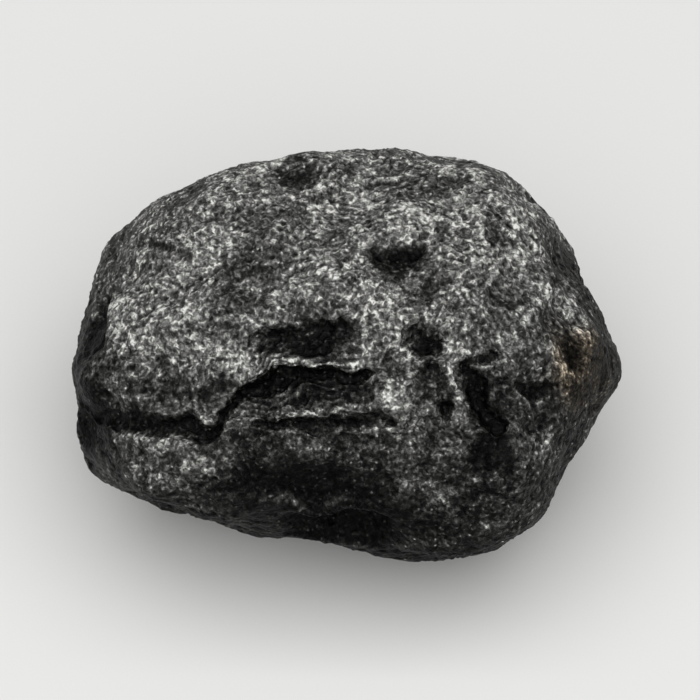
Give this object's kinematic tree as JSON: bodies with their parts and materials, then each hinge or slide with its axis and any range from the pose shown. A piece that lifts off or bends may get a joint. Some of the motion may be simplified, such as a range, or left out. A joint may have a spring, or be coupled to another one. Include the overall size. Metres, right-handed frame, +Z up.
{
  "type": "raw tektite stone",
  "caption": "Raw natural glass stone with a pitted, slotted face and rounded, lumpy sides, lying on a small flat foot.",
  "frame": {"origin": "bottom centre of the stone's bounding box, on the surface that it lies on", "axes": "+Z up, +X along the stone's length, -Y out of its front, so that its pitted face looks up and towards -Y"},
  "size_m": [0.045, 0.0376, 0.031],
  "materials": {
    "tektite_glass": "satin"
  },
  "bodies": {
    "root": {"tektite_stone": "tektite_glass"}
  },
  "joints": []
}
